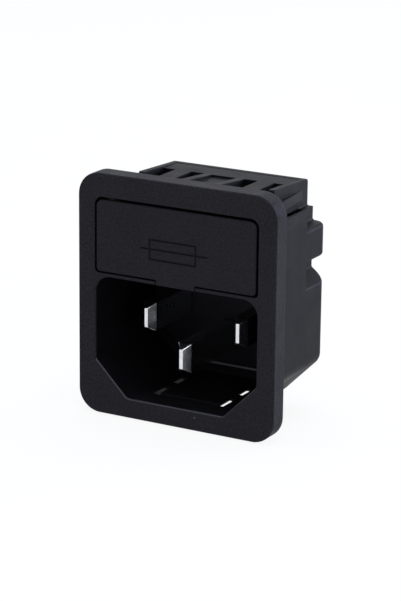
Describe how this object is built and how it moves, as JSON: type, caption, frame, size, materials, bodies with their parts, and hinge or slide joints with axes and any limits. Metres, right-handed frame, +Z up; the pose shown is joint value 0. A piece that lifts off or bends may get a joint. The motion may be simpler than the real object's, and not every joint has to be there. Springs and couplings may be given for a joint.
{
  "type": "appliance inlet",
  "caption": "Panel-mount mains appliance inlet: upright flange, recessed blade contacts, pull-out fuse drawer, snap-in tongues and rear quick-connect tabs.",
  "frame": {"origin": "centre of the flange's rear face, the plane that seats on the panel", "axes": "+Y to the rear, through the panel's cut-out; +Z up, towards the fuse drawer; +X to the right seen from the front"},
  "size_m": [0.0298, 0.0256, 0.0334],
  "materials": {
    "housing_plastic": "fine spark-eroded texture on the flange",
    "drawer_plastic": "fine spark-eroded texture",
    "nickel_blades": "nickel plated, drawn",
    "tinned_terminals": "tin plated, rolled",
    "spring_clips": "phosphor bronze, tin flashed",
    "rivets": "nickel plated",
    "fuse_glass": "clear drawn tube",
    "fuse_caps": "nickel plated, drawn cup",
    "fuse_wire": "tinned copper"
  },
  "bodies": {
    "inlet": {"housing": "housing_plastic", "line_pin": "nickel_blades", "neutral_contact": "nickel_blades", "earth_contact": "nickel_blades", "line_strip": "tinned_terminals", "load_tab": "tinned_terminals", "line_clip": "spring_clips", "load_clip": "spring_clips", "line_clip_rivet": "rivets", "load_clip_rivet": "rivets"},
    "drawer": {"fuse_drawer": "drawer_plastic", "fuse_glass": "fuse_glass", "fuse_cap_right": "fuse_caps", "fuse_cap_left": "fuse_caps", "fuse_wire": "fuse_wire", "spare_fuse_glass": "fuse_glass", "spare_fuse_cap_right": "fuse_caps", "spare_fuse_cap_left": "fuse_caps", "spare_fuse_wire": "fuse_wire"}
  },
  "joints": [
    {"name": "drawer_slide", "type": "slide", "parent": "inlet", "child": "drawer", "axis": [0, -1, 0], "range_m": [0, 0.02]}
  ]
}
